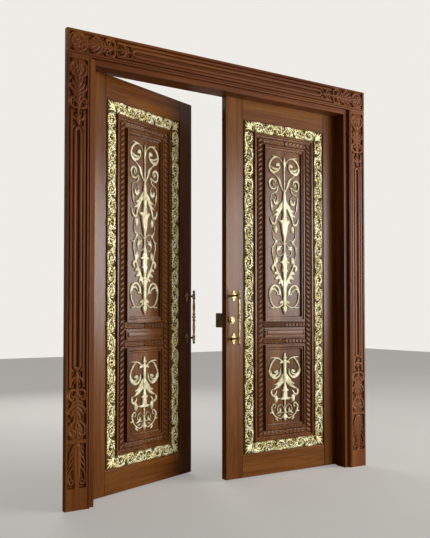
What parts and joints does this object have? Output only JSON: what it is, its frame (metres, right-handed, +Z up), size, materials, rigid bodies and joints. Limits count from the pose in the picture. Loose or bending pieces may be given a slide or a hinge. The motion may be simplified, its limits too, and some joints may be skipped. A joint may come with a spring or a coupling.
{
  "type": "carved double door",
  "caption": "Carved and gilded double door in a rebated frame with carved casings, pull handles, a rim lock and tower bolts; both leaves swing on butt hinges.",
  "frame": {"origin": "centre of the doorway on the floor line, in the plane of the casings' front faces", "axes": "+X to the right along the door, +Y through the doorway away from the carved side, +Z up"},
  "size_m": [2.072, 0.5221, 2.45],
  "materials": {
    "frame_wood": "oiled reddish hardwood",
    "leaf_wood": "oiled reddish hardwood",
    "gilding": "gold paint on carved wood",
    "brass": "satin, darkened",
    "screws": "satin",
    "bolt_steel": "brushed"
  },
  "bodies": {
    "frame": {"left_jamb": "frame_wood", "right_jamb": "frame_wood", "head_jamb": "frame_wood", "left_casing": "frame_wood", "right_casing": "frame_wood", "head_casing": "frame_wood", "left_jamb_hinges": "brass", "right_jamb_hinges": "brass", "hinge_pins": "brass", "jamb_hinge_screws": "screws", "socket_plates": "brass"},
    "left_leaf": {"left_hinge_stile": "leaf_wood", "left_meeting_stile": "leaf_wood", "left_top_rail": "leaf_wood", "left_bottom_rail": "leaf_wood", "left_field_panel": "leaf_wood", "left_outer_moulding": "leaf_wood", "left_rope_band": "leaf_wood", "left_upper_frame": "leaf_wood", "left_lower_frame": "leaf_wood", "left_husk_strips": "leaf_wood", "left_middle_block": "leaf_wood", "left_gilded_border": "gilding", "left_upper_ornament": "gilding", "left_lower_ornament": "gilding", "left_handle_grip": "brass", "left_handle_posts": "brass", "left_leaf_hinges": "brass", "left_tower_bolt_case": "brass", "left_hinge_screws": "screws", "left_fitting_screws": "screws", "lock_keeper": "brass"},
    "left_tower_bolt": {"left_tower_bolt_rod": "bolt_steel"},
    "right_leaf": {"right_hinge_stile": "leaf_wood", "right_meeting_stile": "leaf_wood", "right_top_rail": "leaf_wood", "right_bottom_rail": "leaf_wood", "right_field_panel": "leaf_wood", "right_outer_moulding": "leaf_wood", "right_rope_band": "leaf_wood", "right_upper_frame": "leaf_wood", "right_lower_frame": "leaf_wood", "right_husk_strips": "leaf_wood", "right_middle_block": "leaf_wood", "right_gilded_border": "gilding", "right_upper_ornament": "gilding", "right_lower_ornament": "gilding", "right_handle_grip": "brass", "right_handle_posts": "brass", "right_leaf_hinges": "brass", "right_tower_bolt_case": "brass", "right_hinge_screws": "screws", "right_fitting_screws": "screws", "lock_case": "brass", "lock_plate": "brass", "lock_cylinder": "brass", "lock_plug": "brass"},
    "right_tower_bolt": {"right_tower_bolt_rod": "bolt_steel"},
    "lock_bolts": {"lock_bolts": "bolt_steel"},
    "thumb_turn": {"thumb_turn": "brass"}
  },
  "joints": [
    {"name": "left_leaf_hinge", "type": "hinge", "parent": "frame", "child": "left_leaf", "pos_m": [-0.88, 0.154, 1.154], "axis": [0, 0, 1], "range_deg": [-21, 79]},
    {"name": "right_leaf_hinge", "type": "hinge", "parent": "frame", "child": "right_leaf", "pos_m": [0.88, 0.154, 1.154], "axis": [0, 0, -1], "range_deg": [0, 100]},
    {"name": "left_tower_bolt_slide", "type": "slide", "parent": "left_leaf", "child": "left_tower_bolt", "axis": [0, 0, 1], "range_m": [0, 0.025]},
    {"name": "right_tower_bolt_slide", "type": "slide", "parent": "right_leaf", "child": "right_tower_bolt", "axis": [0, 0, 1], "range_m": [0, 0.025]},
    {"name": "lock_bolt_slide", "type": "slide", "parent": "right_leaf", "child": "lock_bolts", "axis": [-1, 0, 0], "range_m": [0, 0.024]},
    {"name": "thumb_turn_hinge", "type": "hinge", "parent": "right_leaf", "child": "thumb_turn", "pos_m": [0.074, 0.213, 0.95], "axis": [0, 1, 0], "range_deg": [0, 90]}
  ],
  "couplings": [
    {"joint": "thumb_turn_hinge", "follows": "lock_bolt_slide", "rad_per_m": 65.45}
  ]
}
